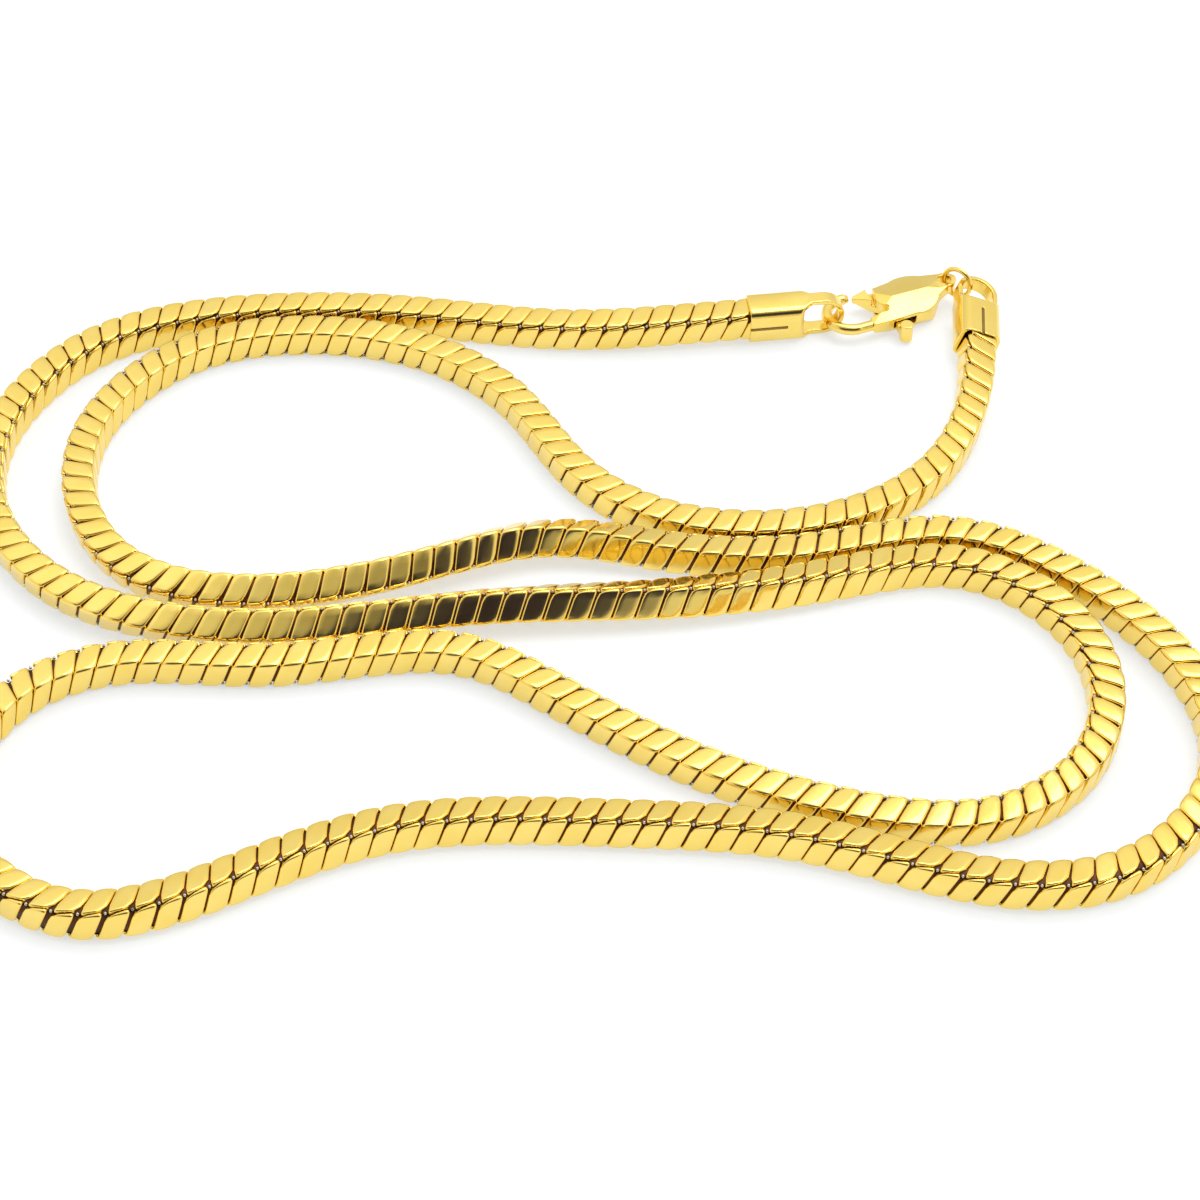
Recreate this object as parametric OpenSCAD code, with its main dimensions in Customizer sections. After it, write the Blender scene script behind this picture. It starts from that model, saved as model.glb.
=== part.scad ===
/* [Chain] */
// Width of the square chain across its flats
chain_w = 3.1; // [2.9:0.1:3.2]
// Bevel along the four long edges of the chain
chain_bevel = 0.2; // [0.15:0.05:0.4]
// Number of steps between cross sections along the chain
steps = 80; // [70:2:100]

/* [End caps] */
// Gap between the chain and the walls of a cap's socket
socket_gap = 0.05; // [0.04:0.01:0.1]
// Length of chain held inside a cap
grip_len = 3.0; // [2.5:0.1:3.5]
// Length of the square sleeve of a cap
sleeve_len = 5.0; // [4.8:0.1:5.2]
// Thickness of the two thin walls of a sleeve
thin_wall = 0.2; // [0.15:0.05:0.25]
// Thickness of the two thick walls, which bend round into the eye
thick_wall = 0.5; // [0.4:0.05:0.55]
// Radius of the four long edges of a sleeve
cap_round = 0.6; // [0.3:0.1:0.7]
// Length of the eye beyond the sleeve
eye_len = 4.6; // [4.5:0.1:4.8]
// Width of the band that bends round the eye
eye_band_w = 1.5; // [1.3:0.1:1.6]
// Solid length between the sleeve and the hole of the eye
eye_root = 0.4; // [0.3:0.1:0.6]
// Length over which a cap narrows to the band
eye_taper = 1.2; // [0.8:0.1:1.6]
// Depth of the fold groove in the thin walls
groove_depth = 0.08; // [0.05:0.01:0.1]
// Height of the fold groove
groove_h = 0.35; // [0.2:0.05:0.5]
// Length of the fold groove
groove_len = 3.8; // [3:0.1:4.4]
// Roll of end cap B about its own length, in degrees
end_roll = 18; // [12:1:20]

/* [Clasp] */
// Direction of the clasp, in degrees from the long side of the coil
clasp_heading = 21; // [20:0.5:22]
// Radius of the hook's wire
hook_wire_r = 0.55; // [0.5:0.05:0.6]
// Radius of the hook's bend at the middle of the wire
hook_bend_r = 2.3; // [2.2:0.05:2.4]
// Height of the middle of the hook's wire
hook_z = 1.5; // [1.45:0.05:1.6]
// Angle of the hook's tip round its bend
hook_tip_angle = 80; // [78:1:84]
// Length of the hook's tapered tip
hook_tip_len = 0.4; // [0.3:0.05:0.5]
// Radius of the end of the hook's tip
hook_tip_r = 0.35; // [0.3:0.05:0.4]
// Distance that cap A's eye reaches past the middle of the hook's wire
hook_depth = 1.5; // [1.4:0.05:1.6]
// Distance from cap A's middle to the hook's wire, towards the front
hook_side = 0.48; // [0.3:0.05:0.6]
// Thickness of the body, floor to ridge
body_t = 3.0; // [2.9:0.1:3.2]
// Distance of the ridge from the body's middle, towards the front
ridge_side = 0.5; // [0.3:0.1:0.8]
// Height of the body's front edge
front_edge_z = 1.95; // [1.9:0.05:2.1]
// Height of the body's back edge
back_edge_z = 2.05; // [1.95:0.05:2.2]
// Radius of the full part of the body, seen from above
belly_r = 2.8; // [2.7:0.05:2.9]
// Distance from the hook's bend centre to the middle of the full part
belly_x = 6.7; // [6.5:0.1:6.9]
// Radius of the body round the hinge pin
cheek_r = 1.5; // [1.4:0.05:1.6]
// Radius of the hole in the rear lug
lug_hole_r = 0.68; // [0.66:0.01:0.72]
// Wall of the lug round its hole
lug_wall = 0.52; // [0.45:0.01:0.54]
// Thickness of the lug
lug_t = 1.2; // [1.1:0.05:1.25]
// Height of the lug's underside
lug_z = 1.6; // [1.55:0.05:1.7]
// Distance from the hook's bend centre to the middle of the lug's hole
lug_x = 10.44; // [10.4:0.01:10.5]
// Distance of the lug's hole from the body's middle, towards the back
lug_side = 0.33; // [0.3:0.01:0.36]

/* [Lever] */
// Distance from the hook's bend centre to the hinge pin
pivot_x = 4.3; // [4.2:0.05:4.4]
// Height of the underside of the lever's plate
lever_z = 0.75; // [0.7:0.05:0.8]
// Thickness of the lever's plate
lever_t = 0.8; // [0.7:0.05:0.85]
// Gap above and below the lever's plate in its slot
slot_gap = 0.1; // [0.08:0.01:0.12]
// Gap beside the lever's plate in its slot
slot_side = 0.15; // [0.1:0.05:0.2]
// Radius of the hinge pin
pin_r = 0.4; // [0.35:0.01:0.45]
// Gap between the pin and the lever's bore
pin_gap = 0.06; // [0.05:0.01:0.08]
// Radius of the lever's round middle
hub_r = 1.1; // [1.0:0.05:1.15]
// Height of the gate where it meets the hook's tip
gate_h = 1.6; // [1.4:0.1:1.7]
// Radius of the gate's rounded end
gate_end_r = 0.28; // [0.2:0.02:0.34]
// Gap between the gate and the hook's tip
gate_gap = 0.2; // [0.15:0.05:0.3]
// Width of the arm that carries the thumb knob
arm_w = 1.2; // [1.0:0.1:1.3]
// Distance from the hinge pin to the thumb knob
knob_reach = 4.05; // [4.0:0.01:4.1]
// Radius of the thumb knob
knob_r = 0.65; // [0.6:0.05:0.7]
// Height of the thumb knob
knob_h = 1.9; // [1.7:0.1:2.1]
// Height of the thumb knob's underside
knob_z = 0.3; // [0.2:0.05:0.4]
// Angle by which the lever opens
open_angle = 20; // [15:1:20]

/* [Jump ring] */
// Radius of the jump ring at the middle of its wire
ring_r = 1.5; // [1.48:0.01:1.52]
// Radius of the jump ring's wire
ring_wire_r = 0.24; // [0.2:0.01:0.25]
// Lean of the jump ring away from upright, in degrees
ring_lean = 5; // [4:1:6]
// Direction that the jump ring faces, in degrees from straight to the front
ring_turn = 34.5; // [33.5:0.5:35.5]

/* [Hidden] */
$fn = 64;
eps = 0.01;
half_w = chain_w / 2;
cap_w = chain_w + 2 * (socket_gap + thin_wall);
cap_h = chain_w + 2 * (socket_gap + thick_wall);
cap_len = sleeve_len + eye_len;
eye_r = cap_h / 2;
eye_cx = cap_len - eye_r;

// Height of the chain's middle when its lowest edge touches the floor, for a turn of its square
function fold(turn) = let (m = abs(turn) % 90) min(m, 90 - m);
function rest_h(turn) = half_w * cos(fold(turn)) + (half_w - chain_bevel) * sin(fold(turn));

// Height of end cap B's middle when it rests on a rounded edge
end_turn = -90 - end_roll;
cap_b_z = (cap_w / 2 - cap_round) * cos(end_roll) + (cap_h / 2 - cap_round) * sin(end_roll) + cap_round;
lift_a = cap_h / 2 - half_w;
lift_b = cap_b_z - rest_h(end_turn);

// The hook's bend centre on the floor. The lug, the ring and both caps take their places from it: cap A's
// eye hangs on the hook's wire and cap B's eye on the ring, so the chain's ends follow the clasp
hook_centre = [27.244, 34.453, 0];
lug_hole = hook_centre + lug_x * along(clasp_heading) + lug_side * along(clasp_heading + 90);
ring_centre = lug_hole + [1.24, -0.49, 2.6];
cap_a_heading = 7.125;
cap_b_heading = 85;
ring_depth = 0.717;
ring_side = 1.869;
mouth_a = hook_centre
    - hook_bend_r * along(clasp_heading)
    - hook_side * along(cap_a_heading - 90)
    - (cap_len - hook_depth) * along(cap_a_heading);
mouth_b = ring_centre
    - ring_side * along(cap_b_heading + 90)
    - (cap_len - ring_depth) * along(cap_b_heading);

// Route of the chain's middle from cap A to cap B: x, y, turn of the square in degrees, lift off the floor
route = [
    [mouth_a[0], mouth_a[1], 90, lift_a],
    [9, 32.1, 90, lift_a],
    [-2, 31.5, 90, 0],
    [-16, 34.5, 90, 0],
    [-29.5, 35, 90, 0],
    [-42, 33, 90, 0],
    [-50, 28, 90, 0],
    [-55.5, 17.5, 90, 0],
    [-54.5, 6.5, 90, 0],
    [-47.5, -3, 84, 0],
    [-37.5, -7.5, 67, 0],
    [-25, -8.6, 54, 0],
    [-8.5, -5, 44, 0],
    [7.5, -5, 31, 0],
    [22.5, -2.5, 14, 0],
    [34, 1.5, 0, 0],
    [43.3, -4.2, 0, 0],
    [47, -13.5, 0, 0],
    [44.5, -23.5, 0, 0],
    [35.5, -30, 0, 0],
    [25, -29, 0, 0],
    [11.5, -24.5, 0, 0],
    [-1.5, -15.5, 0, 0],
    [-10.5, -8.5, 0, 0],
    [-26, -13, 0, 0],
    [-38.5, -10.5, 0, 0],
    [-48.5, -14.5, 0, 0],
    [-52.5, -24, 0, 0],
    [-49.5, -34, 4, 0],
    [-40, -40, 8, 0],
    [-30, -37, 10, 0],
    [-15.5, -28.5, 10, 0],
    [3.5, -29.5, 10, 0],
    [19, -30, 10, 0],
    [32.5, -36, 8, 0],
    [44.5, -36, 4, 0],
    [52.5, -29, 0, 0],
    [56, -19.5, 0, 0],
    [52.5, -9.5, 0, 0],
    [45.2, -1.3, 0, 0],
    [34.5, 5.6, 0, 0],
    [21, 0.5, 0, 0],
    [8.5, 1, -10, 0],
    [-3, 4.5, -36, 0],
    [-16, -2, -50, 0],
    [-29.5, -4.8, -60, 0],
    [-40.5, -2, -76, 0],
    [-46.5, 8, -90, 0],
    [-46.5, 19, -90, 0],
    [-39.5, 28.5, -90, 0],
    [-29.5, 32, -90, 0],
    [-15.5, 30.5, -90, 0],
    [-5, 22.5, -90, 0],
    [-0.5, 11, -90, 0],
    [9.5, 4.05, -90, 0],
    [23, 4.05, -90, 0],
    [34, 10.5, -90, 0],
    [38.5, 21, -96, 0.1],
    [mouth_b[0], mouth_b[1], end_turn, lift_b]
];
last = len(route) - 1;

// The route with one more point at each end, so that its curve starts and stops at the first and last
guide = concat([2 * route[0] - route[1]], route, [2 * route[last] - route[last - 1]]);

// Point and slope of the smooth curve at t, which counts the route's points from 0 to last
function share(t) = let (i = min(floor(t), last - 1)) [i, t - i];
function curve(t) = let (i = share(t)[0], u = share(t)[1])
    (guide[i] * pow(1 - u, 3)
    + guide[i + 1] * (3 * pow(u, 3) - 6 * pow(u, 2) + 4)
    + guide[i + 2] * (1 + 3 * u + 3 * pow(u, 2) - 3 * pow(u, 3))
    + guide[i + 3] * pow(u, 3)) / 6;
function slope(t) = let (i = share(t)[0], u = share(t)[1])
    (guide[i + 1] * (3 * pow(u, 2) - 4 * u)
    + guide[i + 2] * (1 + 2 * u - 3 * pow(u, 2))
    + guide[i + 3] * pow(u, 2)
    - guide[i] * pow(1 - u, 2)) / 2;
function heading(t) = atan2(slope(t)[1], slope(t)[0]);
function along(angle) = [cos(angle), sin(angle), 0];

// Cross sections stand closer together where the chain bends: each step takes an equal share of the effort,
// which grows with both the bend and the length
tick = 0.125;
straight_effort = 0.05;
function gap_xy(a, b) = norm([b[0] - a[0], b[1] - a[1]]);
function bend(t) = let (b = abs(heading(t + tick) - heading(t))) min(b, 360 - b);
function effort(t) = let (d = gap_xy(curve(t), curve(t + tick))) sqrt(d * bend(t)) + straight_effort * d;
efforts = [for (t = 0, sum = 0; t <= last; sum = sum + (t < last ? effort(t) : 0), t = t + tick) [sum, t]];
total_effort = efforts[len(efforts) - 1][0];
function station(k) = lookup(total_effort * k / steps, efforts);
half_steps = floor(steps / 2);

// The chain's centre, heading and turn at t, and the same moved along its heading
function frame_at(t) = let (p = curve(t)) [[p[0], p[1], rest_h(p[2]) + p[3]], heading(t), p[2]];
function moved(f, d) = [f[0] + d * along(f[1]), f[1], f[2]];

// Section of the chain: a square with bevelled corners
function bevelled(w, c) = [
    [w / 2, c - w / 2], [w / 2, w / 2 - c], [w / 2 - c, w / 2], [c - w / 2, w / 2],
    [-w / 2, w / 2 - c], [-w / 2, c - w / 2], [c - w / 2, -w / 2], [w / 2 - c, -w / 2]];
function section(f) = [for (v = bevelled(chain_w, chain_bevel))
    f[0]
    + (v[0] * cos(f[2]) - v[1] * sin(f[2])) * along(f[1] - 90)
    + [0, 0, v[0] * sin(f[2]) + v[1] * cos(f[2])]];

cap_a = frame_at(0);
cap_b = frame_at(last);
cap_a_out = cap_a[1] + 180;
cap_b_out = cap_b[1];

// One solid swept through a list of frames
module sweep(frames) {
    n = 8;
    points = [for (f = frames) each section(f)];
    sides = [for (j = [0 : len(frames) - 2]) for (k = [0 : n - 1])
        let (a = j * n + k, b = j * n + (k + 1) % n) each [[a, b, b + n], [a, b + n, a + n]]];
    start = [for (k = [n - 1 : -1 : 0]) k];
    finish = [for (k = [0 : n - 1]) len(points) - n + k];
    polyhedron(points, concat([start], sides, [finish]));
}

module snake_chain_a() {
    color("gold")
    sweep(concat([moved(cap_a, -grip_len)], [for (k = [0 : half_steps]) frame_at(station(k))]));
}

module snake_chain_b() {
    color("gold")
    sweep(concat([for (k = [half_steps : steps]) frame_at(station(k))], [moved(cap_b, grip_len)]));
}

// Profile that stands across the X axis, from x = 0 to x = len
module along_x(len) {
    rotate([90, 0, 90])
    linear_extrude(len)
    children();
}

// Profile in X and Z, w thick in Y
module across_y(w) {
    rotate([90, 0, 0])
    linear_extrude(w, center = true)
    children();
}

module rounded(w, h, r) {
    square([w - 2 * r, h], center = true);
    square([w, h - 2 * r], center = true);
    for (sx = [-1, 1], sy = [-1, 1])
        translate([sx * (w / 2 - r), sy * (h / 2 - r)])
        circle(r);
}

// End cap with its mouth at the origin, its eye towards +X and its thick walls above and below
module end_cap() {
    difference() {
        intersection() {
            along_x(cap_len)
            rounded(cap_w, cap_h, cap_round);
            across_y(2 * cap_w)
            eye_side();
            translate([0, 0, -cap_h])
            linear_extrude(2 * cap_h)
            eye_plan();
        }
        translate([-1, 0, 0])
        along_x(1 + grip_len + socket_gap)
        polygon(bevelled(chain_w + 2 * socket_gap, chain_bevel));
        for (side = [-1, 1])
            translate([groove_len / 2, side * cap_w / 2, 0])
            cube([groove_len + eps, 2 * groove_depth, groove_h], center = true);
    }
}

module eye_side() {
    hole_r = eye_r - thick_wall;
    hole_start = sleeve_len + eye_root;
    difference() {
        union() {
            translate([-1, -eye_r])
            square([eye_cx + 1, cap_h]);
            translate([eye_cx, 0])
            circle(eye_r);
        }
        translate([hole_start, -hole_r])
        square([eye_cx - hole_start, 2 * hole_r]);
        translate([eye_cx, 0])
        circle(hole_r);
    }
}

module eye_plan() {
    taper_end = sleeve_len + eye_taper;
    polygon([
        [-1, -cap_w], [sleeve_len, -cap_w], [sleeve_len, -cap_w / 2],
        [taper_end, -eye_band_w / 2], [cap_len + 1, -eye_band_w / 2],
        [cap_len + 1, eye_band_w / 2], [taper_end, eye_band_w / 2],
        [sleeve_len, cap_w / 2], [sleeve_len, cap_w], [-1, cap_w]]);
}

module end_cap_a() {
    color("goldenrod")
    translate(cap_a[0])
    rotate([90 - cap_a[2], 0, cap_a_out])
    end_cap();
}

module end_cap_b() {
    color("goldenrod")
    translate(cap_b[0])
    rotate([-cap_b[2], 0, cap_b_out])
    end_cap();
}

// The clasp's own frame has the hook's bend centre at its origin and the body towards +X
module clasp_place() {
    translate(hook_centre)
    rotate([0, 0, clasp_heading])
    children();
}

arm_start = 1.4;
arm_root = 0.2;
hook_step = 0.03;
body_start = 3.4;
body_end = 8.1;
tail_start = 9.4;
lug_r = lug_hole_r + lug_wall;
slot_z = lever_z - slot_gap;
slot_t = lever_t + 2 * slot_gap;
pin_root = 0.2;
slot_cuts = 4;

module clasp_body() {
    color("khaki")
    clasp_place() {
        hook();
        difference() {
            intersection() {
                linear_extrude(body_t + 1)
                body_plan();
                along_x(lug_x + 2 * lug_r)
                body_roof();
                across_y(4 * belly_r)
                body_side();
            }
            translate([pivot_x, 0, slot_z])
            linear_extrude(slot_t)
            lever_sweep();
            translate([lug_x, lug_side, 0])
            cylinder(h = body_t + 1, r = lug_hole_r);
        }
        translate([pivot_x, 0, slot_z - pin_root])
        cylinder(h = slot_t + 2 * pin_root, r = pin_r);
    }
}

// Round wire of the hook, from its tip to the front arm; both ends start inside its bend, a hair thinner
module hook() {
    translate([0, 0, hook_z]) {
        rotate(hook_tip_angle)
        rotate_extrude(angle = 270 - hook_tip_angle)
        translate([hook_bend_r, 0])
        circle(hook_wire_r);
        translate(hook_bend_r * along(hook_tip_angle))
        rotate([90, 0, hook_tip_angle])
        translate([0, 0, -hook_tip_len / 4])
        cylinder(h = 1.25 * hook_tip_len, r1 = hook_wire_r - hook_step, r2 = hook_tip_r);
        translate([-arm_root, -hook_bend_r, 0])
        rotate([0, 90, 0])
        cylinder(h = arm_root + (arm_start + body_start) / 2, r = hook_wire_r - hook_step);
    }
}

// Corners of the plan lie a little inside the round parts that they join, and its pieces overlap
inset = 0.96;
overlap = 0.5;

module body_plan() {
    arm_in = hook_wire_r - hook_bend_r;
    arm_out = -hook_wire_r - hook_bend_r;
    polygon([
        [arm_start, arm_out], [body_start, arm_out], [belly_x, -inset * belly_r], [belly_x, overlap],
        [pivot_x, overlap], [body_start, arm_in], [arm_start, arm_in]]);
    polygon([
        [pivot_x, -overlap], [pivot_x - inset * cheek_r, 0], [pivot_x - 0.7 * cheek_r, 0.7 * belly_r],
        [belly_x, inset * belly_r], [belly_x, -overlap]]);
    polygon([
        [belly_x - overlap, 0], [belly_x, inset * belly_r], [lug_x, lug_side + inset * lug_r],
        [lug_x, lug_side - inset * lug_r], [belly_x, -inset * belly_r]]);
    translate([pivot_x, 0])
    circle(cheek_r);
    translate([belly_x, 0])
    circle(belly_r);
    translate([lug_x, lug_side])
    circle(lug_r);
}

// Section across the body: a ridge between a steep front facet and a wide back one
module body_roof() {
    side = belly_r + 0.1;
    polygon([
        [-0.8 * belly_r, 0], [0.75 * belly_r, 0], [side, 1], [side, back_edge_z],
        [-ridge_side, body_t], [-side, front_edge_z], [-side, 1]]);
}

module body_side() {
    tail_end = lug_x + 2 * lug_r;
    polygon([
        [arm_start, hook_z - hook_wire_r], [body_start, 0], [body_end, 0], [tail_start, lug_z],
        [tail_end, lug_z], [tail_end, lug_z + lug_t], [tail_start, lug_z + lug_t],
        [body_end, body_t], [pivot_x, body_t], [arm_start, hook_z + hook_wire_r]]);
}

// The gate's end beside the hook's tip, seen from the hinge pin
gate_angle = -25;
gate_end = hook_bend_r * along(hook_tip_angle)
    + (hook_wire_r + gate_gap + gate_end_r) * along(gate_angle)
    - [pivot_x, 0, 0];
gate_thick_x = -1.75;
gate_block = 4;

// The lever seen from above, with the hinge pin at the origin; grow widens it for its slot
module lever_plan(grow = 0) {
    circle(hub_r + grow);
    lever_arms(grow);
}

module lever_arms(grow = 0) {
    translate([-arm_w / 2 - grow, -knob_reach])
    square([arm_w + 2 * grow, knob_reach]);
    gate_plan(grow);
}

// Room for the lever from shut to open
module lever_sweep() {
    circle(hub_r + slot_side);
    for (k = [0 : slot_cuts])
        rotate(k * open_angle / slot_cuts)
        lever_arms(slot_side);
}

module gate_plan(grow = 0) {
    end_r = gate_end_r + grow;
    translate([gate_end[0], gate_end[1]])
    circle(end_r);
    polygon([
        [gate_end[0], gate_end[1] + inset * end_r], [-1 + grow, gate_end[1] + inset * end_r],
        [0.5 * hub_r + grow, 0.85 * hub_r + grow], [-0.8 * hub_r - grow, -0.5 * hub_r - grow],
        [0.75 * gate_end[0] - grow, 0.45 * gate_end[1] - grow], [gate_end[0], gate_end[1] - inset * end_r]]);
}

module clasp_lever() {
    color("darkkhaki")
    clasp_place()
    translate([pivot_x, 0, 0])
    difference() {
        union() {
            translate([0, 0, lever_z])
            linear_extrude(lever_t)
            lever_plan();
            translate([0, 0, hook_z - gate_h / 2])
            linear_extrude(gate_h)
            intersection() {
                gate_plan();
                translate([gate_thick_x - gate_block, -gate_block])
                square([gate_block, 2 * gate_block]);
            }
            translate([0, -knob_reach, knob_z])
            cylinder(h = knob_h, r = knob_r);
        }
        cylinder(h = body_t, r = pin_r + pin_gap);
    }
}

// The ring stands in the lug's hole and in cap B's eye
module jump_ring() {
    color("gold")
    translate(ring_centre)
    rotate([90 - ring_lean, 0, -ring_turn])
    rotate_extrude()
    translate([ring_r, 0])
    circle(ring_wire_r);
}

snake_chain_a();
snake_chain_b();
end_cap_a();
end_cap_b();
clasp_body();
clasp_lever();
jump_ring();
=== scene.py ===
"""A gold square snake chain with its end caps, clasp and jump ring, laid in loose loops on a pale floor."""

import math

import bmesh
import bpy
import numpy as np
from mathutils import Matrix, Vector


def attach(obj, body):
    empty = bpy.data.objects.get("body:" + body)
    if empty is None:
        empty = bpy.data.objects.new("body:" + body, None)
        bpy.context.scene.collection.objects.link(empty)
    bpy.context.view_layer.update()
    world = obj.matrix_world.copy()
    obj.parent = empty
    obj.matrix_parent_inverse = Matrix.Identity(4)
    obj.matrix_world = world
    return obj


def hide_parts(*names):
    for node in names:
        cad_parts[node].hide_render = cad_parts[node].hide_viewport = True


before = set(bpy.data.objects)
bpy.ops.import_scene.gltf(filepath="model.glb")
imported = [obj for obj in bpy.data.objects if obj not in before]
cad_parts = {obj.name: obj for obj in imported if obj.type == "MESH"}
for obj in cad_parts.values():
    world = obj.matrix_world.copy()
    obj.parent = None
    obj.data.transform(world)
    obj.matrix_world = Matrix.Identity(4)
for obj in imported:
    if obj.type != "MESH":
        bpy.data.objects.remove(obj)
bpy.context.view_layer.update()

MM = 0.001

# Sizes in millimetres and angles in degrees, as the solids have them
CHAIN_W = 3.1
HALF_W = CHAIN_W / 2
CHAIN_BEVEL = 0.2
CAP_W = 3.6
CAP_H = 4.2
CAP_LEN = 9.6
CAP_ROUND = 0.6
CAP_A_HEADING = 7.125
CAP_B_HEADING = 85.0
END_ROLL = 18.0  # cap B lies rolled over by this much more than a quarter turn
HOOK_CENTRE = (27.244, 34.453)
CLASP_HEADING = 21.0
HOOK_BEND_R = 2.3
HOOK_SIDE = 0.48  # the hook's wire in cap A's eye: how far aside of the cap's middle line
HOOK_DEPTH = 1.5  # and how far inside the cap's length
LUG_X = 10.44  # the rear lug's hole, along and across the clasp from the hook's centre
LUG_SIDE = 0.33
RING_FROM_LUG = (1.24, -0.49)
RING_DEPTH = 0.717  # the ring in cap B's eye, measured in the same way
RING_SIDE = 1.869

# The chain's route between the caps: x, y, turn of the square about its length in degrees, and lift above
# the height at which the turned square rests on the floor
ROUTE = [
    [-2, 31.5, 90, 0],
    [-16, 34.5, 90, 0],
    [-29.5, 35, 90, 0],
    [-42, 33, 90, 0],
    [-50, 28, 90, 0],
    [-55.5, 17.5, 90, 0],
    [-54.5, 6.5, 90, 0],
    [-47.5, -3, 84, 0],
    [-37.5, -7.5, 67, 0],
    [-25, -8.6, 54, 0],
    [-8.5, -5, 44, 0],
    [7.5, -5, 31, 0],
    [22.5, -2.5, 14, 0],
    [34, 1.5, 0, 0],
    [43.3, -4.2, 0, 0],
    [47, -13.5, 0, 0],
    [44.5, -23.5, 0, 0],
    [35.5, -30, 0, 0],
    [25, -29, 0, 0],
    [11.5, -24.5, 0, 0],
    [-1.5, -15.5, 0, 0],
    [-10.5, -8.5, 0, 0],
    [-26, -13, 0, 0],
    [-38.5, -10.5, 0, 0],
    [-48.5, -14.5, 0, 0],
    [-52.5, -24, 0, 0],
    [-49.5, -34, 4, 0],
    [-40, -40, 8, 0],
    [-30, -37, 10, 0],
    [-15.5, -28.5, 10, 0],
    [3.5, -29.5, 10, 0],
    [19, -30, 10, 0],
    [32.5, -36, 8, 0],
    [44.5, -36, 4, 0],
    [52.5, -29, 0, 0],
    [56, -19.5, 0, 0],
    [52.5, -9.5, 0, 0],
    [45.2, -1.3, 0, 0],
    [34.5, 5.6, 0, 0],
    [21, 0.5, 0, 0],
    [8.5, 1, -10, 0],
    [-3, 4.5, -36, 0],
    [-16, -2, -50, 0],
    [-29.5, -4.8, -60, 0],
    [-40.5, -2, -76, 0],
    [-46.5, 8, -90, 0],
    [-46.5, 19, -90, 0],
    [-39.5, 28.5, -90, 0],
    [-29.5, 32, -90, 0],
    [-15.5, 30.5, -90, 0],
    [-5, 22.5, -90, 0],
    [-0.5, 11, -90, 0],
    [9.5, 4.05, -90, 0],
    [23, 4.05, -90, 0],
    [34, 10.5, -90, 0],
    [38.5, 21, -96, 0.1],
]
AFTER_CAP_A = (9, 32.1)
STEPS_PER_POINT = 200


def along(angle):
    """Unit vector on the floor at an angle in degrees."""
    return np.array([math.cos(math.radians(angle)), math.sin(math.radians(angle))])


def rest_height(turn):
    """Height of the chain's middle when the square, turned by so many degrees, rests on the floor."""
    m = np.abs(turn) % 90
    fold = np.radians(np.minimum(m, 90 - m))
    return HALF_W * np.cos(fold) + (HALF_W - CHAIN_BEVEL) * np.sin(fold)


def route_points():
    """The whole route, from the mouth of cap A's sleeve to the mouth of cap B's."""
    roll = math.radians(END_ROLL)
    half_w, half_h = CAP_W / 2 - CAP_ROUND, CAP_H / 2 - CAP_ROUND
    cap_b_z = half_w * math.cos(roll) + half_h * math.sin(roll) + CAP_ROUND
    end_turn = -90 - END_ROLL
    lift_a = CAP_H / 2 - HALF_W
    lift_b = cap_b_z - float(rest_height(np.array(end_turn)))
    hook = np.array(HOOK_CENTRE)
    mouth_a = (
        hook
        - HOOK_BEND_R * along(CLASP_HEADING)
        - HOOK_SIDE * along(CAP_A_HEADING - 90)
        - (CAP_LEN - HOOK_DEPTH) * along(CAP_A_HEADING)
    )
    ring = (
        hook
        + LUG_X * along(CLASP_HEADING)
        + LUG_SIDE * along(CLASP_HEADING + 90)
        + np.array(RING_FROM_LUG)
    )
    mouth_b = ring - RING_SIDE * along(CAP_B_HEADING + 90) - (CAP_LEN - RING_DEPTH) * along(CAP_B_HEADING)
    start = [[*mouth_a, 90, lift_a], [*AFTER_CAP_A, 90, lift_a]]
    return np.array(start + ROUTE + [[*mouth_b, end_turn, lift_b]])


def smooth_route():
    """The route's smooth curve: length along it, with the place, heading and turn at each length."""
    route = route_points()
    guide = np.vstack([2 * route[0] - route[1], route, 2 * route[-1] - route[-2]])
    last = len(route) - 1
    t = np.linspace(0, last, last * STEPS_PER_POINT + 1)
    i = np.minimum(np.floor(t).astype(int), last - 1)
    u = (t - i)[:, None]
    a, b, c, d = guide[i], guide[i + 1], guide[i + 2], guide[i + 3]
    weight_b = 3 * u**3 - 6 * u**2 + 4
    weight_c = 1 + 3 * u + 3 * u**2 - 3 * u**3
    p = (a * (1 - u) ** 3 + b * weight_b + c * weight_c + d * u**3) / 6
    v = (b * (3 * u**2 - 4 * u) + c * (1 + 2 * u - 3 * u**2) + d * u**2 - a * (1 - u) ** 2) / 2
    heading = np.unwrap(np.arctan2(v[:, 1], v[:, 0]))
    z = rest_height(p[:, 2]) + p[:, 3]
    place = np.column_stack([p[:, 0], p[:, 1], z])
    length = np.concatenate([[0], np.cumsum(np.linalg.norm(np.diff(place, axis=0), axis=1))])
    return length, place, heading, np.radians(p[:, 2])


LENGTH, PLACE, HEADING, TURN = smooth_route()
TOTAL = LENGTH[-1]


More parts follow.
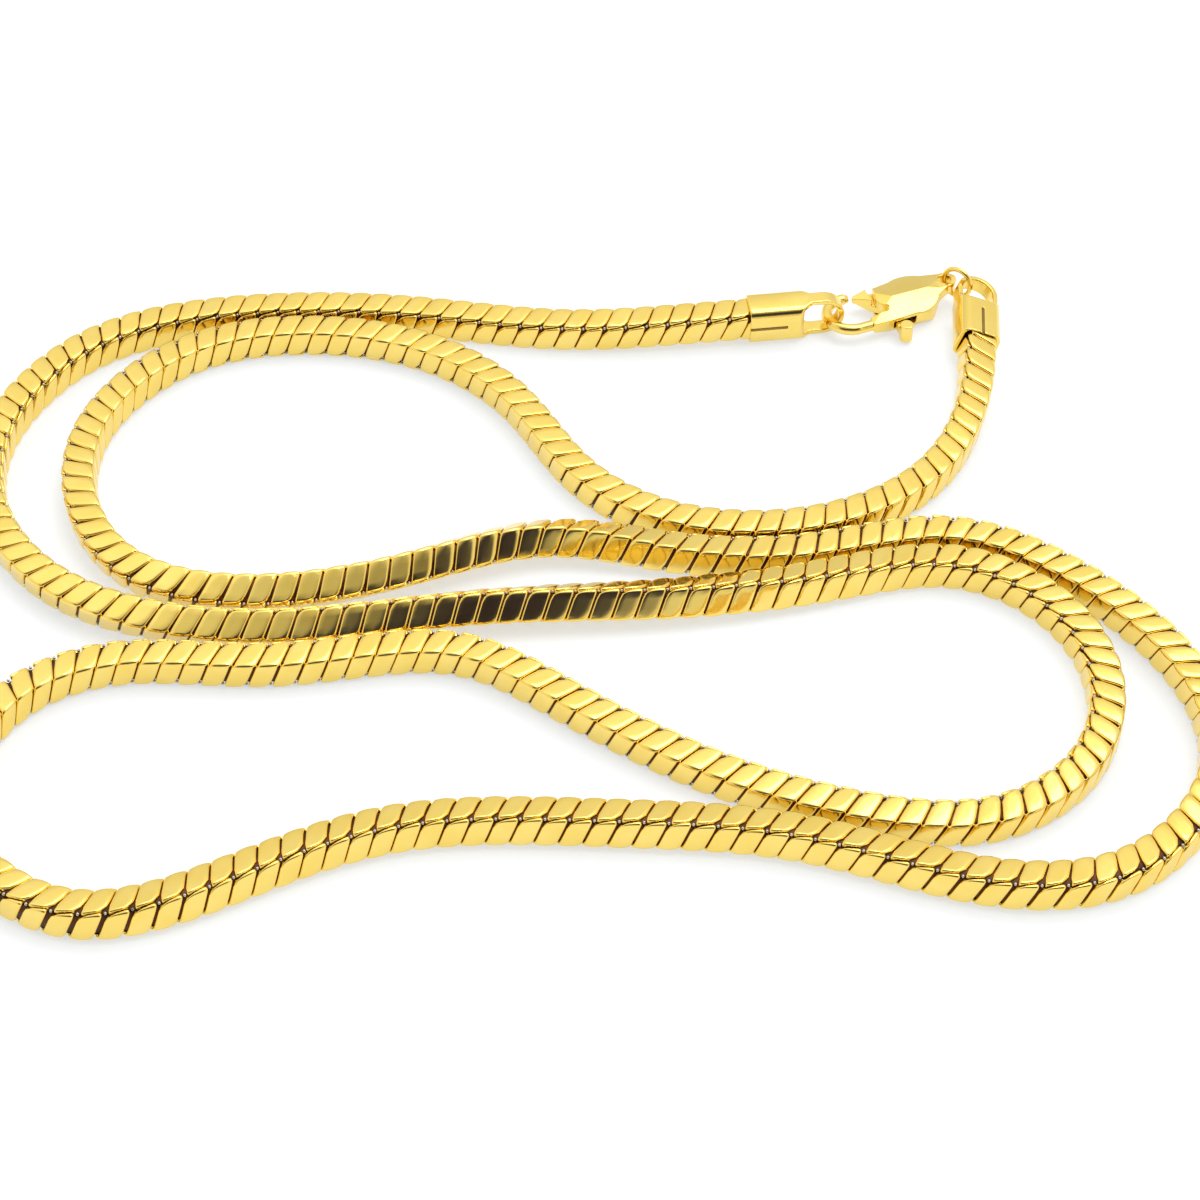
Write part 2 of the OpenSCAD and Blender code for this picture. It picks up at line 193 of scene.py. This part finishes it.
def frames_at(s):
    """Centre of the chain's square at lengths s, with its forward, sideways and upward directions.
    Inside the caps the chain goes straight on."""
    inside = np.clip(s, 0, TOTAL)
    centre = np.stack([np.interp(inside, LENGTH, PLACE[:, k]) for k in range(3)], axis=-1)
    h = np.interp(inside, LENGTH, HEADING)
    turn = np.interp(inside, LENGTH, TURN)
    forward = np.stack([np.cos(h), np.sin(h), np.zeros_like(h)], axis=-1)
    right = np.stack([np.sin(h), -np.cos(h), np.zeros_like(h)], axis=-1)
    up = np.array([0.0, 0.0, 1.0])
    centre = centre + (s - inside)[..., None] * forward
    side = right * np.cos(turn)[..., None] + up * np.sin(turn)[..., None]
    top = -right * np.sin(turn)[..., None] + up * np.cos(turn)[..., None]
    return centre, forward, side, top


BEND_STEP = 0.4


def bend_at(s):
    """Signed bend of the path, per millimetre, positive to the left, over a short length around s."""
    h0 = np.interp(np.clip(s - BEND_STEP, 0, TOTAL), LENGTH, HEADING)
    h1 = np.interp(np.clip(s + BEND_STEP, 0, TOTAL), LENGTH, HEADING)
    return (h1 - h0) / (2 * BEND_STEP)


# Meshes and objects


def put(name, data):
    """Put a mesh, lamp or camera into the scene."""
    thing = bpy.data.objects.new(name, data)
    bpy.context.scene.collection.objects.link(thing)
    return thing


def grid_faces(rows, columns, closed=False):
    """Four-sided faces between the points of a grid, open, or closed round each row."""
    across = columns if closed else columns - 1
    r, c = np.meshgrid(np.arange(rows - 1), np.arange(across), indexing="ij")
    here, after = r * columns, (r + 1) * columns
    beside = (c + 1) % columns
    return np.stack([here + c, here + beside, after + beside, after + c], axis=-1).reshape(-1, 4)


def repeated(faces, count, points):
    """The faces of so many copies of a mesh, each with its own points."""
    return (faces[None] + (np.arange(count) * points)[:, None, None]).reshape(-1, 4)


def make_mesh(name, verts, quads):
    """A smooth object from points in metres and four-sided faces."""
    mesh = bpy.data.meshes.new(name)
    mesh.vertices.add(len(verts))
    mesh.vertices.foreach_set("co", np.asarray(verts, np.float32).ravel())
    mesh.loops.add(len(quads) * 4)
    mesh.loops.foreach_set("vertex_index", np.asarray(quads, np.int32).ravel())
    mesh.polygons.add(len(quads))
    mesh.polygons.foreach_set("loop_start", np.arange(0, len(quads) * 4, 4, dtype=np.int32))
    mesh.polygons.foreach_set("use_smooth", np.ones(len(quads), bool))
    mesh.update(calc_edges=True)
    mesh.validate()
    return put(name, mesh)


# One link is two folded strips. Each covers two faces of the square round a clean fold, and their ends meet
# at the two seams. The second strip is the first one turned half way round the chain.
PITCH_WISH = 2.034
LINKS = round(TOTAL / PITCH_WISH)
PITCH = TOTAL / LINKS
STRIP_DEEP = 0.36
LEAN = 0.53  # each end of a strip leans this share of a pitch along the chain, one back and one forward
FOLD_R = 0.36
FOLD_POINTS = 8
SEAM_R = 0.5
SEAM_AT = math.radians(60)  # how far round the square's corner the seam lies
SEAM_GAP = 0.035
SIDE_LIP = 0.2
END_LIP = 0.26
LIP_ANGLES = (90, 58, 30, 0)

# Where the points across a strip lie: from the middle of a face toward the fold, from the start of the fold,
# from the start of the short end's corner, and as a share of the long end's way round its corner
MIDDLE_ROWS = (-0.5, 0.4)
FOLD_ROWS = (0.3, 0.12)
SEAM_ROW = 0.06
LONG_END_ROW = 0.4
# Where the points along a strip lie, as a share of its half length
MIDDLE_COLUMN = 0.45

CUT_CORNER = 0.85  # radii of the two corners at each end of a strip
KEPT_CORNER = 0.55
HALF_LENGTH_MIN = 0.22  # at a strip's ends, however round their corners are
END_TILT = 0.17  # how far the slant of an end shifts its corners
END_REACH = 0.8  # how far from the seam the slant starts
CROWN = 0.012  # how far a strip's long edges lie below its middle line
DOME = 0.115  # and how much further at its fold and its ends
DOME_REACH = 0.6
REST_DEPTH = 0.01  # how far the strips lie inside the solid's faces
GAP_MIN = 0.05  # between links on the inside of a bend

# Small differences from link to link: each tips and rolls a little, and the gaps vary in slow waves
YAW = 0.012
ROLL = math.radians(0.7)
SEED = 7
DRAWS = 2000
DRAWS_BEFORE = 10
UNEVEN = 0.01
UNEVEN_SLOW, UNEVEN_FAST, UNEVEN_SHIFT = 0.071, 0.173, 1.3

# Share of the pitch left open between links: they stand closer at both ends of the chain
OPEN_AT = (0, 120, 210, 300, 380, 470, 560, 610, 700)
OPEN = (0.034, 0.04, 0.052, 0.06, 0.074, 0.074, 0.06, 0.045, 0.036)


def lip(radius):
    """Rounded lip of a strip's edge: distances in from the edge and depths below the face."""
    turned = [math.radians(a) for a in LIP_ANGLES]
    curve = [(radius * (1 - math.sin(t)), radius * (1 - math.cos(t))) for t in turned]
    return [(0.0, STRIP_DEEP)] + curve


def strip_profile():
    """Rows across the strip that covers the bottom and the right faces: place, outward direction, depth,
    distances from the nearest seam and from the fold, and the share of the way round from start to end.
    The strip reaches further round the corner at its end than at its start."""
    short_arc = SEAM_R * (math.pi / 2 - SEAM_AT) - SEAM_GAP
    long_arc = SEAM_R * SEAM_AT - SEAM_GAP
    flat = HALF_W - SEAM_R
    fold = HALF_W - FOLD_R
    rows = []

    def on_corner(centre, radius, angle, deep, from_seam, from_fold):
        n = (math.cos(angle), math.sin(angle))
        rows.append((centre[0] + radius * n[0], centre[1] + radius * n[1], *n, deep, from_seam, from_fold))

    start = [(d * short_arc / END_LIP, deep) for d, deep in lip(END_LIP)]
    for d, deep in start:
        on_corner((-flat, -flat), SEAM_R, math.pi + SEAM_AT + (SEAM_GAP + d) / SEAM_R, deep, d, HALF_W)
    to_fold = [*MIDDLE_ROWS, *(fold - d for d in FOLD_ROWS)]
    for x in [SEAM_ROW - flat] + to_fold:
        rows.append((x, -HALF_W, 0, -1, 0, short_arc + x + flat, fold - x))
    for a in np.linspace(270, 360, FOLD_POINTS):
        on_corner((fold, -fold), FOLD_R, math.radians(a), 0, HALF_W, 0)
    for y in [-d for d in reversed(to_fold)] + [flat]:
        rows.append((HALF_W, y, 1, 0, 0, long_arc + flat - y, y + fold))
    finish = lip(END_LIP) + [((1 - LONG_END_ROW) * END_LIP + LONG_END_ROW * long_arc, 0.0)]
    for d, deep in reversed(finish):
        on_corner((flat, flat), SEAM_R, SEAM_AT - (SEAM_GAP + d) / SEAM_R, deep, d, HALF_W)
    rows = np.array(rows)
    steps = np.linalg.norm(np.diff(rows[:, :2], axis=0), axis=1)
    around = np.concatenate([[0], np.cumsum(steps)])
    return rows[:, :2], rows[:, 2:4], rows[:, 4], rows[:, 5], rows[:, 6], around / around[-1]


def strip_columns():
    """Columns along a strip: side of its middle, distance in from its edge, depth, and for those on its face
    the share of its half length."""
    first = [(-1, d, deep, None) for d, deep in lip(SIDE_LIP)]
    middle = [(-1, 0, 0.0, MIDDLE_COLUMN), (1, 0, 0.0, 0.0), (1, 0, 0.0, MIDDLE_COLUMN)]
    last = [(1, d, deep, None) for d, deep in reversed(lip(SIDE_LIP))]
    return first + middle + last


def link_differences(number):
    """Each strip's small yaw and roll, the same for both strips of a link."""
    rng = np.random.default_rng(SEED)
    yaw = YAW * rng.normal(0, 1, DRAWS)[number // 2 + DRAWS_BEFORE]
    roll = ROLL * rng.normal(0, 1, DRAWS)[number // 2 + DRAWS_BEFORE]
    return yaw[:, None], roll[:, None]


def half_lengths(s, left_of_path):
    """Half of the length along the chain that a strip covers. Links stand apart on the outside of a bend and
    close up on the inside."""
    local_pitch = PITCH * (1 - bend_at(s) * left_of_path)
    uneven = UNEVEN * np.sin(s * UNEVEN_SLOW + UNEVEN_SHIFT) * np.sin(s * UNEVEN_FAST)
    return 0.5 * np.minimum((1 - np.interp(s, OPEN_AT, OPEN) - uneven) * PITCH, local_pitch - GAP_MIN)


def strips_mesh(first, last):
    """Points and faces of strips first to last, two to a link."""
    p, n, row_deep, from_seam, from_fold, share = strip_profile()
    columns = strip_columns()
    rows, count = len(p), last - first
    number = np.arange(first, last)
    flip = np.where(number % 2 == 0, 1.0, -1.0)[:, None]
    yaw, roll = link_differences(number)
    s = (number // 2 * PITCH)[:, None] + ((share - 0.5) * 2 * LEAN)[None, :] * PITCH
    centre, forward, side, top = frames_at(s)
    turn = np.interp(np.clip(s, 0, TOTAL), LENGTH, TURN)
    p0, p1 = p[:, 0] * flip, p[:, 1] * flip
    n0, n1 = n[:, 0] * flip, n[:, 1] * flip
    half = half_lengths(s, p1 * np.sin(turn) - p0 * np.cos(turn))
    # At a seam a strip's end slants: it reaches further at one of its corners
    near_end = np.clip(1 - from_seam / END_REACH, 0, 1)
    tilt = near_end * near_end * (3 - 2 * near_end) * END_TILT
    # It is domed along its fold and its ends, where it was bent over
    from_bend = np.minimum(np.minimum(from_seam, from_fold), DOME_REACH)
    dome = DOME * (1 - from_bend / DOME_REACH) ** 2
    verts = np.zeros((count, rows, len(columns), 3))
    for c, (hand, inset, deep, part) in enumerate(columns):
        corner = np.where((share < 0.5) == (hand > 0), CUT_CORNER, KEPT_CORNER)
        reach = np.clip(corner - from_seam, 0, corner)
        rounded = corner - np.sqrt(np.maximum(corner**2 - reach**2, 0))
        edge = np.maximum(half - rounded[None, :], HALF_LENGTH_MIN)
        v = hand * (edge - inset) if part is None else hand * edge * part
        w = v / half
        depth = np.maximum(row_deep[None, :], deep) + (CROWN + dome) * w * w + REST_DEPTH + yaw * w
        slide = tilt[None, :] * w
        x = p0 - n0 * depth - n1 * slide
        y = p1 - n1 * depth + n0 * slide
        x, y = x - y * roll, y + x * roll
        verts[:, :, c] = centre + forward * v[..., None] + side * x[..., None] + top * y[..., None]
    verts = verts.reshape(-1, 3) * MM
    return verts, repeated(grid_faces(rows, len(columns)), count, rows * len(columns))


# A core painted dark brown shows in the gaps between the links: painted shade, standing in for the shadow
# deep inside the chain

CORE_UNDER = 0.34
CORE_BEVEL = 0.32
CORE_STEP = 1.2
CORE_IN_CAP = 2.5


def core_mesh(name, first, last):
    """A bevelled square tube inside the chain, from length first to length last."""
    w, c = HALF_W - CORE_UNDER, CORE_BEVEL
    ring = np.array([
        [w, c - w], [w, w - c], [w - c, w], [c - w, w],
        [-w, w - c], [-w, c - w], [c - w, -w], [w - c, -w],
    ])
    count = max(2, int((last - first) / CORE_STEP))
    centre, _, side, top = frames_at(np.linspace(first, last, count + 1))
    verts = centre[:, None] + side[:, None] * ring[..., :1] + top[:, None] * ring[..., 1:]
    outward = np.roll(grid_faces(count + 1, len(ring), closed=True)[:, ::-1], 1, axis=1)
    return make_mesh(name, verts.reshape(-1, 3) * MM, outward)


# Small beads lie at the seams, where four strips meet. Their pale grey is a painted highlight: it whitens
# their real reflection into the bright glint at each node

BEAD_R = 0.155
BEAD_LONG = 0.14
BEAD_DEEP = 0.3
BEAD_STEPS = 5
BEAD_SIDES = 8


def beads(name, sign, first, last):
    """One bead per link, from link first to link last, under the seam on one side of the chain."""
    centre, forward, side, top = frames_at(np.arange(first, last) * PITCH)
    flat = HALF_W - SEAM_R
    across = flat + (SEAM_R - BEAD_DEEP) * math.cos(SEAM_AT)
    up = flat + (SEAM_R - BEAD_DEEP) * math.sin(SEAM_AT)
    middle = centre + sign * (across * side + up * top)
    tilt = np.linspace(-math.pi / 2, math.pi / 2, BEAD_STEPS + 1)
    turn = np.arange(BEAD_SIDES) * 2 * math.pi / BEAD_SIDES
    x = BEAD_LONG * np.sin(tilt)[:, None] * np.ones(BEAD_SIDES)[None]
    y = BEAD_R * np.cos(tilt)[:, None] * np.cos(turn)[None]
    z = BEAD_R * np.cos(tilt)[:, None] * np.sin(turn)[None]
    verts = (
        middle[:, None, None]
        + x[None, :, :, None] * forward[:, None, None]
        + y[None, :, :, None] * side[:, None, None]
        + z[None, :, :, None] * top[:, None, None]
    )
    one = grid_faces(BEAD_STEPS + 1, BEAD_SIDES, closed=True)
    faces = repeated(one, last - first, (BEAD_STEPS + 1) * BEAD_SIDES)
    return make_mesh(name, verts.reshape(-1, 3) * MM, faces)


# The caps, the clasp and its lever are the solids with their edges worn soft

WELD = 0.0005
SMOOTH_FACTOR = 0.5

SLEEVE_END = 5.0
CUSHION = 0.13  # share of their distance by which a sleeve's corners draw in
CUSHION_POWER = 2.5  # how closely that keeps to the corners
CUSHION_FADE = 1.8  # length over which it fades toward the eye
CUSHION_THIN = 0.4  # how much of it the other pair of walls gets

# The lever's gate, along the clasp from its pin
LEVER_PIN = (31.259, 35.994)
GATE_FROM = -1.75
GATE_TAPER = 0.7


def unchanged(verts):
    return verts


def cushion(verts, place, heading, roll):
    """Draw a sleeve's corners in, so that its flat faces swell a little toward their middles."""
    heading, roll = math.radians(heading), math.radians(roll)
    turn = np.array(Matrix.Rotation(heading, 3, "Z") @ Matrix.Rotation(roll, 3, "X"))
    local = (verts - np.array(place)) @ turn
    fade = np.clip((SLEEVE_END + CUSHION_FADE - local[:, 0]) / CUSHION_FADE, 0, 1)
    pull = CUSHION * fade * fade * (3 - 2 * fade)
    y, z = local[:, 1].copy(), local[:, 2].copy()
    local[:, 1] = y * (1 - CUSHION_THIN * pull * np.abs(z / (CAP_H / 2)) ** CUSHION_POWER)
    local[:, 2] = z * (1 - pull * np.abs(y / (CAP_W / 2)) ** CUSHION_POWER)
    return local @ turn.T + np.array(place)


def cushion_a(verts):
    return cushion(verts, PLACE[0], CAP_A_HEADING, 0)


def cushion_b(verts):
    return cushion(verts, PLACE[-1], CAP_B_HEADING, 90 + END_ROLL)


def taper_gate(verts):
    """Thin the gate toward its tip."""
    reach = (verts[:, :2] - np.array(LEVER_PIN)) @ along(CLASP_HEADING)
    gate = reach < GATE_FROM
    middle = 0.5 * (verts[gate, 2].max() + verts[gate, 2].min())
    share = np.clip((GATE_FROM - reach) / (GATE_FROM - reach.min()), 0, 1)
    out = verts.copy()
    out[:, 2] = middle + (verts[:, 2] - middle) * (1 - GATE_TAPER * share)
    return out


def softened(name, node, mat, voxel, rounds, keep, reshape):
    """A copy of a node's solid in fine even faces with worn edges, reshaped in millimetres."""
    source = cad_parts[node]
    mesh = source.data.copy()
    mesh.transform(Matrix.Scale(1 / MM, 4) @ source.matrix_world)
    work = bmesh.new()
    work.from_mesh(mesh)
    bmesh.ops.remove_doubles(work, verts=work.verts, dist=WELD)
    work.to_mesh(mesh)
    work.free()
    rough = put(name + "_rough", mesh)
    remesh = rough.modifiers.new("even", "REMESH")
    remesh.mode = "VOXEL"
    remesh.voxel_size = voxel
    smooth = rough.modifiers.new("soft", "SMOOTH")
    smooth.factor = SMOOTH_FACTOR
    smooth.iterations = rounds
    fewer = rough.modifiers.new("fewer", "DECIMATE")
    fewer.ratio = keep
    graph = bpy.context.evaluated_depsgraph_get()
    soft = bpy.data.meshes.new_from_object(rough.evaluated_get(graph))
    bpy.data.objects.remove(rough)
    soft.name = name
    verts = np.empty(3 * len(soft.vertices), np.float32)
    soft.vertices.foreach_get("co", verts)
    verts = reshape(verts.reshape(-1, 3).astype(float)) * MM
    soft.vertices.foreach_set("co", verts.astype(np.float32).ravel())
    for face in soft.polygons:
        face.use_smooth = True
    soft.materials.clear()
    soft.materials.append(mat)
    return put(name, soft)


# A dark crease runs along the thin walls of both sleeves; its dark brown is painted shade, the shadow inside
# the sleeve's groove

CREASE_FROM = 0.05
CREASE_LEN = 3.7
CREASE_W = 0.26
CREASE_PROUD = 0.012
CREASE_BEVEL = 0.01


def crease(name, place, heading, roll, mat):
    """A thin bar across the sleeve, whose two ends show as dark lines of painted shade on its thin walls."""
    box = bmesh.new()
    bmesh.ops.create_cube(box, size=1)
    bmesh.ops.scale(box, vec=(CREASE_LEN, 2 * CREASE_PROUD + CAP_W, CREASE_W), verts=box.verts)
    bmesh.ops.translate(box, vec=(CREASE_LEN / 2 + CREASE_FROM, 0, 0), verts=box.verts)
    bmesh.ops.bevel(box, geom=box.edges, offset=CREASE_BEVEL, segments=1, affect="EDGES")
    turn = Matrix.Rotation(math.radians(heading), 4, "Z") @ Matrix.Rotation(math.radians(roll), 4, "X")
    bmesh.ops.transform(box, matrix=Matrix.Scale(MM, 4) @ Matrix.Translation(place) @ turn, verts=box.verts)
    mesh = bpy.data.meshes.new(name)
    box.to_mesh(mesh)
    box.free()
    mesh.materials.append(mat)
    return put(name, mesh)


# Materials

GOLD = (0.945, 0.71, 0.195)
GOLD_DEEP = (0.915, 0.665, 0.155)
# Painted shade: the core's near-black brown stands in for the shadow inside the chain
CORE_SHADE_TONE, CORE_SHADE_DARK = (0.12, 0.055, 0.03), (0.06, 0.03, 0.02)
# Painted highlight: the beads' pale grey makes the glint at each node white rather than gold
BEAD_HIGHLIGHT_TONE, BEAD_HIGHLIGHT_DARK = (0.60, 0.57, 0.54), (0.50, 0.47, 0.43)
# Painted shade: the crease's dark brown stands in for the shadow in the sleeve's groove
CREASE_SHADE_TONE, CREASE_SHADE_DARK = (0.30, 0.19, 0.05), (0.2, 0.12, 0.03)

GRAIN_SCALE = 900.0
GRAIN_DETAIL = 4.0
GRAIN_HEIGHT = 0.00004
GRAIN_STRENGTH = 0.08
CLOUD_SHARE = 0.35
CLOUD_DETAIL = 3.0
TONE_SPAN = (0.35, 0.65)
POLISH_SPREAD = 0.06

FLOOR_TONE = (0.5, 0.5, 0.5, 1)
FLOOR_ROUGH = 0.9
FLOOR_SPECULAR = 0.1
FLOOR_GLOW = (0.90, 0.95, 1.0, 1)
FLOOR_GLOW_STRENGTH = 0.58


def plated(name, base, deep, roughness):
    """Polished plate: slow colour drift, uneven polish and a faint buffed grain."""
    mat = bpy.data.materials.new(name)
    mat.use_nodes = True
    nodes, links = mat.node_tree.nodes, mat.node_tree.links
    shader = nodes["Principled BSDF"]
    shader.inputs["Metallic"].default_value = 1.0
    place = nodes.new("ShaderNodeTexCoord")
    cloud = nodes.new("ShaderNodeTexNoise")
    cloud.inputs["Scale"].default_value = GRAIN_SCALE * CLOUD_SHARE
    cloud.inputs["Detail"].default_value = CLOUD_DETAIL
    links.new(place.outputs["Object"], cloud.inputs["Vector"])
    tone = nodes.new("ShaderNodeValToRGB")
    for stop, position, shade in zip(tone.color_ramp.elements, TONE_SPAN, (deep, base)):
        stop.position = position
        stop.color = (*shade, 1)
    links.new(cloud.outputs["Fac"], tone.inputs["Fac"])
    links.new(tone.outputs["Color"], shader.inputs["Base Color"])
    polish = nodes.new("ShaderNodeMapRange")
    polish.inputs["To Min"].default_value = roughness
    polish.inputs["To Max"].default_value = roughness + POLISH_SPREAD
    links.new(cloud.outputs["Fac"], polish.inputs["Value"])
    links.new(polish.outputs["Result"], shader.inputs["Roughness"])
    grain = nodes.new("ShaderNodeTexNoise")
    grain.inputs["Scale"].default_value = GRAIN_SCALE
    grain.inputs["Detail"].default_value = GRAIN_DETAIL
    links.new(place.outputs["Object"], grain.inputs["Vector"])
    relief = nodes.new("ShaderNodeBump")
    relief.inputs["Strength"].default_value = GRAIN_STRENGTH
    relief.inputs["Distance"].default_value = GRAIN_HEIGHT
    links.new(grain.outputs["Fac"], relief.inputs["Height"])
    links.new(relief.outputs["Normal"], shader.inputs["Normal"])
    return mat


def floor_material():
    """Matt pale floor with a faint cool glow, which keeps the shadows light."""
    mat = bpy.data.materials.new("pale_floor")
    mat.use_nodes = True
    shader = mat.node_tree.nodes["Principled BSDF"]
    shader.inputs["Base Color"].default_value = FLOOR_TONE
    shader.inputs["Roughness"].default_value = FLOOR_ROUGH
    shader.inputs["Specular IOR Level"].default_value = FLOOR_SPECULAR
    shader.inputs["Emission Color"].default_value = FLOOR_GLOW
    shader.inputs["Emission Strength"].default_value = FLOOR_GLOW_STRENGTH
    return mat


chain_gold = plated("chain_gold", GOLD, GOLD_DEEP, 0.11)
# The core's material is painted shade, not a darker metal
core_painted_shade = plated("core_painted_shade", CORE_SHADE_TONE, CORE_SHADE_DARK, 0.45)
# The beads' material is a painted highlight on top of their real reflection
bead_highlight_metal = plated("bead_highlight_metal", BEAD_HIGHLIGHT_TONE, BEAD_HIGHLIGHT_DARK, 0.25)
# The crease's material is painted shade, not a darker metal
crease_painted_shade = plated("crease_painted_shade", CREASE_SHADE_TONE, CREASE_SHADE_DARK, 0.4)
cap_gold = plated("cap_gold", GOLD, GOLD_DEEP, 0.13)
clasp_gold = plated("clasp_gold", GOLD, GOLD_DEEP, 0.13)

# Camera at the photograph's viewing angle, with its focal length in widths of the picture

CAMERA_PLACE = (2.4, -158.4, 168.603)
CAMERA_DOWN = 47.3
SENSOR_W = 36
FOCAL_WIDTHS = 2550 / 1200

camera_data = bpy.data.cameras.new("camera")
camera = put("camera", camera_data)
camera.location = [v * MM for v in CAMERA_PLACE]
camera.rotation_euler = (math.radians(90 - CAMERA_DOWN), 0, 0)
camera_data.sensor_width = SENSOR_W
camera_data.lens = SENSOR_W * FOCAL_WIDTHS
camera_data.clip_start = 0.01
camera_data.clip_end = 50
bpy.context.scene.camera = camera

# Floor

FLOOR_REACH = 3.0
FLOOR_SINK = 0.00002

floor_mesh = bpy.data.meshes.new("floor")
corners = [(x * FLOOR_REACH, y * FLOOR_REACH, 0) for x, y in ((-1, -1), (1, -1), (1, 1), (-1, 1))]
floor_mesh.from_pydata(corners, [], [(0, 1, 2, 3)])
floor = put("floor", floor_mesh)
floor.location = (0, 0, -FLOOR_SINK)
floor_mesh.materials.append(floor_material())

# The studio's brightness over the half circle from the back horizon, over the top, to the front horizon, in
# degrees. The dark stretch is a card, which the middle strands mirror.
SKY = (
    (0, (0.55, 0.55, 0.54)),
    (22, (0.64, 0.64, 0.63)),
    (36, (0.72, 0.72, 0.71)),
    (46, (0.82, 0.82, 0.81)),
    (56, (0.94, 0.94, 0.93)),
    (86, (0.94, 0.94, 0.93)),
    (100, (0.62, 0.62, 0.57)),
    (114, (0.48, 0.47, 0.41)),
    (123, (0.30, 0.29, 0.25)),
    (129, (0.045, 0.045, 0.085)),
    (142, (0.02, 0.015, 0.045)),
    (158, (0.045, 0.045, 0.085)),
    (171, (0.60, 0.60, 0.58)),
    (180, (0.75, 0.75, 0.74)),
)
# Far to both sides the studio is plain
WING_SPAN = (0.45, 0.72)
WING_TONE = (0.72, 0.71, 0.69, 1)
STUDIO_STRENGTH = 1.35


def studio_world():
    """Soft light all round, as a band of tones from back to front between two plain sides."""
    world = bpy.data.worlds.new("studio")
    world.use_nodes = True
    nodes, links = world.node_tree.nodes, world.node_tree.links
    background = nodes["Background"]
    direction = nodes.new("ShaderNodeTexCoord")
    parts = nodes.new("ShaderNodeSeparateXYZ")
    links.new(direction.outputs["Generated"], parts.inputs["Vector"])
    height = nodes.new("ShaderNodeMath")
    height.operation = "ARCTAN2"
    links.new(parts.outputs["Z"], height.inputs[0])
    links.new(parts.outputs["Y"], height.inputs[1])
    turned = nodes.new("ShaderNodeMapRange")
    turned.inputs["From Min"].default_value = 0.0
    turned.inputs["From Max"].default_value = math.pi
    links.new(height.outputs["Value"], turned.inputs["Value"])
    sky = nodes.new("ShaderNodeValToRGB")
    while len(sky.color_ramp.elements) < len(SKY):
        sky.color_ramp.elements.new(0.5)
    for stop, (degrees, shade) in zip(sky.color_ramp.elements, SKY):
        stop.position = degrees / 180
        stop.color = (*shade, 1)
    links.new(turned.outputs["Result"], sky.inputs["Fac"])
    aside = nodes.new("ShaderNodeMath")
    aside.operation = "ABSOLUTE"
    links.new(parts.outputs["X"], aside.inputs[0])
    wing = nodes.new("ShaderNodeMapRange")
    wing.interpolation_type = "SMOOTHSTEP"
    wing.inputs["From Min"].default_value = WING_SPAN[0]
    wing.inputs["From Max"].default_value = WING_SPAN[1]
    links.new(aside.outputs["Value"], wing.inputs["Value"])
    studio = nodes.new("ShaderNodeMix")
    studio.data_type = "RGBA"
    studio.inputs["B"].default_value = WING_TONE
    links.new(wing.outputs["Result"], studio.inputs["Factor"])
    links.new(sky.outputs["Color"], studio.inputs["A"])
    links.new(studio.outputs["Result"], background.inputs["Color"])
    background.inputs["Strength"].default_value = STUDIO_STRENGTH
    return world


bpy.context.scene.world = studio_world()

# One large soft lamp above and behind, aimed at the middle of the coil

LAMP_PLACE = (0.28, 0.18, 0.9)
LAMP_SIZE = (0.75, 0.6)
LAMP_POWER = 3.4

lamp_data = bpy.data.lights.new("key_light", "AREA")
lamp_data.shape = "RECTANGLE"
lamp_data.size, lamp_data.size_y = LAMP_SIZE
lamp_data.energy = LAMP_POWER
lamp = put("key_light", lamp_data)
lamp.location = LAMP_PLACE
lamp.rotation_euler = (-Vector(LAMP_PLACE)).to_track_quat("-Z", "Y").to_euler()

# The chain's strips, in eight stretches, from inside the one cap to inside the other

STRETCHES = 8
edges = [2 * round(-1 + (LINKS + 2) * k / STRETCHES) for k in range(STRETCHES + 1)]
for k in range(STRETCHES):
    stretch = make_mesh(f"chain_links_{k + 1}", *strips_mesh(edges[k], edges[k + 1]))
    stretch.data.materials.append(chain_gold)
    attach(stretch, "necklace")
    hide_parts("snake_chain_a" if k < STRETCHES // 2 else "snake_chain_b")

# The core and the beads, in two halves

core_ends = ((-CORE_IN_CAP, TOTAL / 2), (TOTAL / 2, TOTAL + CORE_IN_CAP))
first_beads = (1, LINKS // 2)
for k in range(2):
    core = core_mesh(f"chain_core_{k + 1}", *core_ends[k])
    core.data.materials.append(core_painted_shade)
    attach(core, "necklace")
    for j, sign in enumerate((1, -1)):
        seam = beads(f"seam_beads_{k + 1}_{j + 1}", sign, first_beads[k], first_beads[k] + LINKS // 2)
        seam.data.materials.append(bead_highlight_metal)
        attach(seam, "necklace")

# The worn solids: piece, node, material, body, slot, size of the even faces in millimetres, rounds of
# smoothing, share of faces kept, and reshaping
for name, node, mat, body, slot, voxel, rounds, keep, reshape in (
    ("cap_a_soft", "end_cap_a", cap_gold, "necklace", "cap", 0.06, 22, 0.25, cushion_a),
    ("cap_b_soft", "end_cap_b", cap_gold, "necklace", "cap", 0.06, 22, 0.25, cushion_b),
    ("clasp_soft", "clasp_body", clasp_gold, "necklace", "clasp", 0.05, 10, 0.25, unchanged),
    ("lever_soft", "clasp_lever", clasp_gold, "lever", "lever", 0.05, 8, 0.3, taper_gate),
):
    piece = softened(name, node, mat, voxel, rounds, keep, reshape)
    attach(piece, body)
    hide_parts(node)

for name, place, heading, roll in (
    ("cap_a_crease", PLACE[0], CAP_A_HEADING, 0),
    ("cap_b_crease", PLACE[-1], CAP_B_HEADING, 90 + END_ROLL),
):
    piece = crease(name, Vector(place), heading, roll, crease_painted_shade)
    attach(piece, "necklace")

ring_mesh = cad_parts["jump_ring"].data
ring_mesh.materials.clear()
ring_mesh.materials.append(cap_gold)
for face in ring_mesh.polygons:
    face.use_smooth = True

bpy.context.scene.view_settings.view_transform = "Standard"
bpy.context.scene.view_settings.look = "None"
